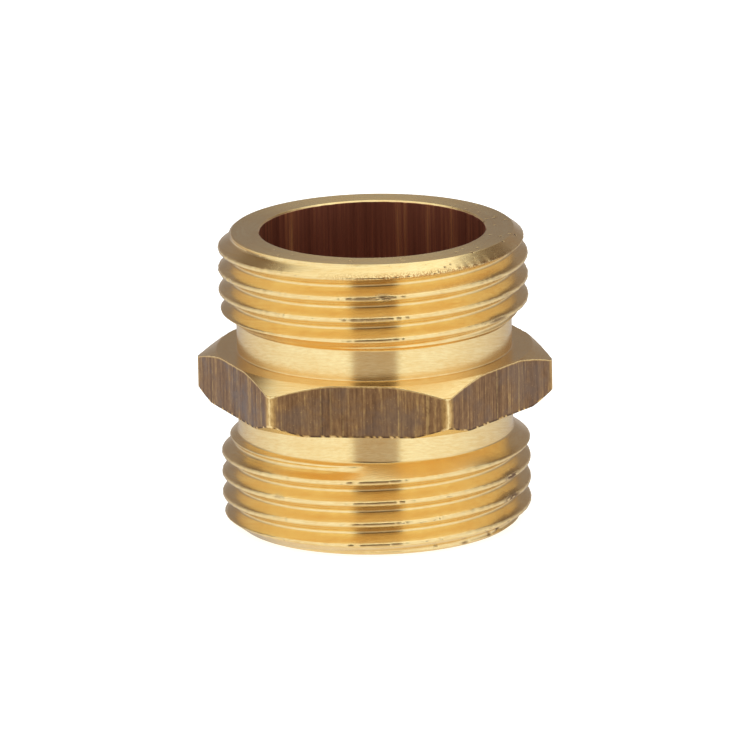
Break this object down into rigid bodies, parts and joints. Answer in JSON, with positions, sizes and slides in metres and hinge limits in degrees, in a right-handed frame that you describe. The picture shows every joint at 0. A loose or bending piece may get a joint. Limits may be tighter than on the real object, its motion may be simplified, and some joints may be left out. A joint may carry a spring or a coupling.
{
  "type": "hex nipple",
  "caption": "Hex nipple: a short straight metal tube with a male parallel pipe thread and a flat sealing face at each end, and a hexagonal collar for a wrench between them.",
  "frame": {"origin": "centre of the lower sealing face, on the bore's axis", "axes": "+Z along the bore's axis, from the slightly longer threaded end to the shorter one; +X through two opposite corners of the hexagon; +Y square to two of its flats"},
  "size_m": [0.0382, 0.0334, 0.032],
  "materials": {
    "turned_brass": "bright turned brass on the threads, necks and end faces; dull brown drawn brass on the hexagon's flats; dark reddish drawn bore"
  },
  "bodies": {
    "root": {"nipple_body": "turned_brass"}
  },
  "joints": []
}
